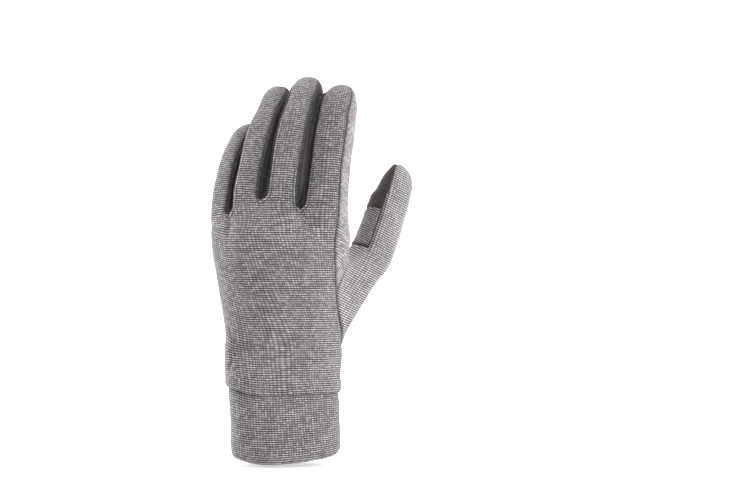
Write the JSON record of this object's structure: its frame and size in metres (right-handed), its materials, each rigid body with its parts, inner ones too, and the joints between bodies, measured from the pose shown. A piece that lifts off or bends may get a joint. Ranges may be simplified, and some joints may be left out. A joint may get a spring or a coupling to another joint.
{
  "type": "knitted wool glove for the left hand",
  "caption": "Heathered knit glove for the left hand, with a folded cuff, side strips, a gusseted thumb and smooth pads on thumb and index fingertips.",
  "frame": {"origin": "centre of the cuff's mouth, where the wrist goes in", "axes": "+Z from the cuff's mouth to the fingertips, +X to the thumb side, +Y out of the palm, so the back of the hand faces -Y"},
  "size_m": [0.1367, 0.0717, 0.2588],
  "materials": {
    "heather_knit": "matte ribbed wool knit, heathered taupe grey, slightly fuzzy",
    "cuff_knit": "matte fine knit, heathered taupe grey, doubled",
    "touch_suede": "smooth dark brown-grey suede-like touch pad"
  },
  "bodies": {
    "root": {"back_panel": "heather_knit", "palm_panel": "heather_knit", "index_side_strip": "heather_knit", "fourchette_little_ring": "heather_knit", "fourchette_ring_middle": "heather_knit", "fourchette_middle_index": "heather_knit", "thumb": "heather_knit", "thumb_palm_strip": "heather_knit", "cuff": "cuff_knit", "index_touch_patch": "touch_suede", "thumb_touch_patch": "touch_suede"}
  },
  "joints": []
}
